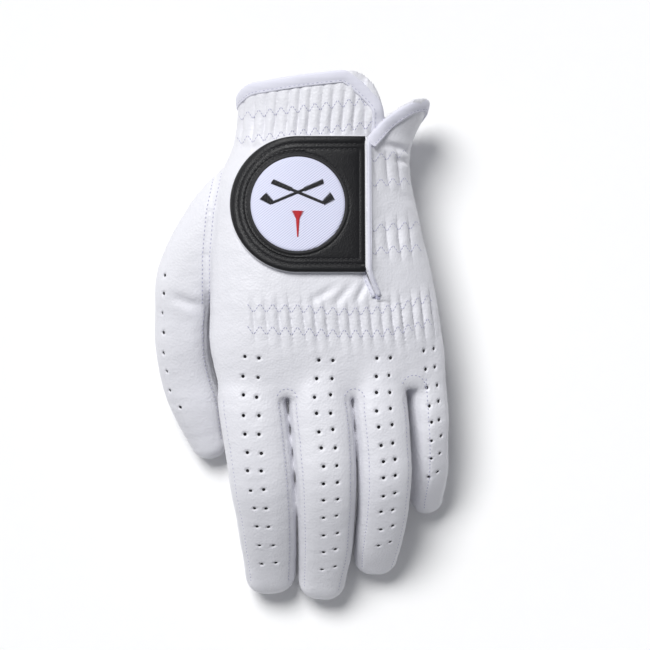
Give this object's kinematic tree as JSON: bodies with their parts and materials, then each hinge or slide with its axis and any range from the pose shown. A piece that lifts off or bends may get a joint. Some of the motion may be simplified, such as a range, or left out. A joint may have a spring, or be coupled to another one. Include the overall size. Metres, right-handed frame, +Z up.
{
  "type": "golf glove",
  "caption": "Left-hand golf glove in white leather, with elastic gathers, a bound wrist slit and a black D-shaped closure tab that carries an embroidered badge.",
  "frame": {"origin": "middle of the glove's base, on the surface it lies on, palm down", "axes": "+X towards the little finger, +Y towards the wrist opening, +Z up out of the back of the hand"},
  "size_m": [0.1196, 0.2194, 0.0566],
  "materials": {
    "white_leather": "satin",
    "black_leather": "satin",
    "elastic": "matte",
    "binding": "satin",
    "hook_and_loop": "matte",
    "badge_twill": "satin",
    "black_thread": "satin",
    "red_thread": "satin"
  },
  "bodies": {
    "root": {"back_panel": "white_leather", "cuff_binding": "binding", "cuff_elastic_little_side": "elastic", "cuff_elastic_thumb_side": "elastic", "finger_webs": "white_leather", "index_finger_sleeve": "white_leather", "knuckle_elastic": "elastic", "little_finger_sleeve": "white_leather", "little_side_strip": "white_leather", "loop_pad": "hook_and_loop", "middle_finger_sleeve": "white_leather", "palm_panel": "white_leather", "ring_finger_sleeve": "white_leather", "slit_binding": "binding", "slit_end_bar": "binding", "tab_edge_fold": "white_leather", "tab_sewn_edge": "black_leather", "thumb_gusset": "white_leather", "thumb_side_strip": "white_leather", "thumb_sleeve": "white_leather", "wrist_elastic_little_side": "elastic"},
    "index_finger": {"index_finger_back": "white_leather", "index_finger_little_side_strip": "white_leather", "index_finger_palm": "white_leather", "index_finger_thumb_side_strip": "white_leather"},
    "middle_finger": {"middle_finger_back": "white_leather", "middle_finger_little_side_strip": "white_leather", "middle_finger_palm": "white_leather", "middle_finger_thumb_side_strip": "white_leather"},
    "ring_finger": {"ring_finger_back": "white_leather", "ring_finger_little_side_strip": "white_leather", "ring_finger_palm": "white_leather", "ring_finger_thumb_side_strip": "white_leather"},
    "little_finger": {"little_finger_back": "white_leather", "little_finger_little_side_strip": "white_leather", "little_finger_palm": "white_leather", "little_finger_thumb_side_strip": "white_leather"},
    "thumb": {"thumb_back": "white_leather", "thumb_little_side_strip": "white_leather", "thumb_palm": "white_leather", "thumb_thumb_side_strip": "white_leather"},
    "closure_tab": {"tab_leather": "black_leather", "tab_lining": "white_leather", "tab_hook_pad": "hook_and_loop", "badge_disc": "badge_twill", "badge_border": "black_thread", "badge_clubs": "black_thread", "badge_tee": "red_thread"}
  },
  "joints": [
    {"name": "index_finger_flex", "type": "hinge", "parent": "root", "child": "index_finger", "pos_m": [-0.01884, -0.03264, 0.03652], "axis": [0.9942, 0.108, 0], "range_deg": [-15, 60], "deforming": ["index_finger_sleeve"]},
    {"name": "middle_finger_flex", "type": "hinge", "parent": "root", "child": "middle_finger", "pos_m": [0.00894, -0.03264, 0.03727], "axis": [0.9999, 0.0107, 0], "range_deg": [-15, 60], "deforming": ["middle_finger_sleeve"]},
    {"name": "ring_finger_flex", "type": "hinge", "parent": "root", "child": "ring_finger", "pos_m": [0.03336, -0.03264, 0.035], "axis": [0.9998, -0.0217, 0], "range_deg": [-15, 60], "deforming": ["ring_finger_sleeve"]},
    {"name": "little_finger_flex", "type": "hinge", "parent": "root", "child": "little_finger", "pos_m": [0.05246, -0.02364, 0.02803], "axis": [0.9999, -0.0124, 0], "range_deg": [-15, 60], "deforming": ["little_finger_sleeve"]},
    {"name": "thumb_spread", "type": "hinge", "parent": "root", "child": "thumb", "pos_m": [-0.04833, 0.01236, 0.02205], "axis": [0, 0, -1], "range_deg": [0, 35], "deforming": ["thumb_sleeve"]},
    {"name": "closure_tab_lift", "type": "hinge", "parent": "root", "child": "closure_tab", "pos_m": [0.02726, 0.05436, 0.05047], "axis": [0, 0.9986, -0.053], "range_deg": [0, 150]}
  ]
}
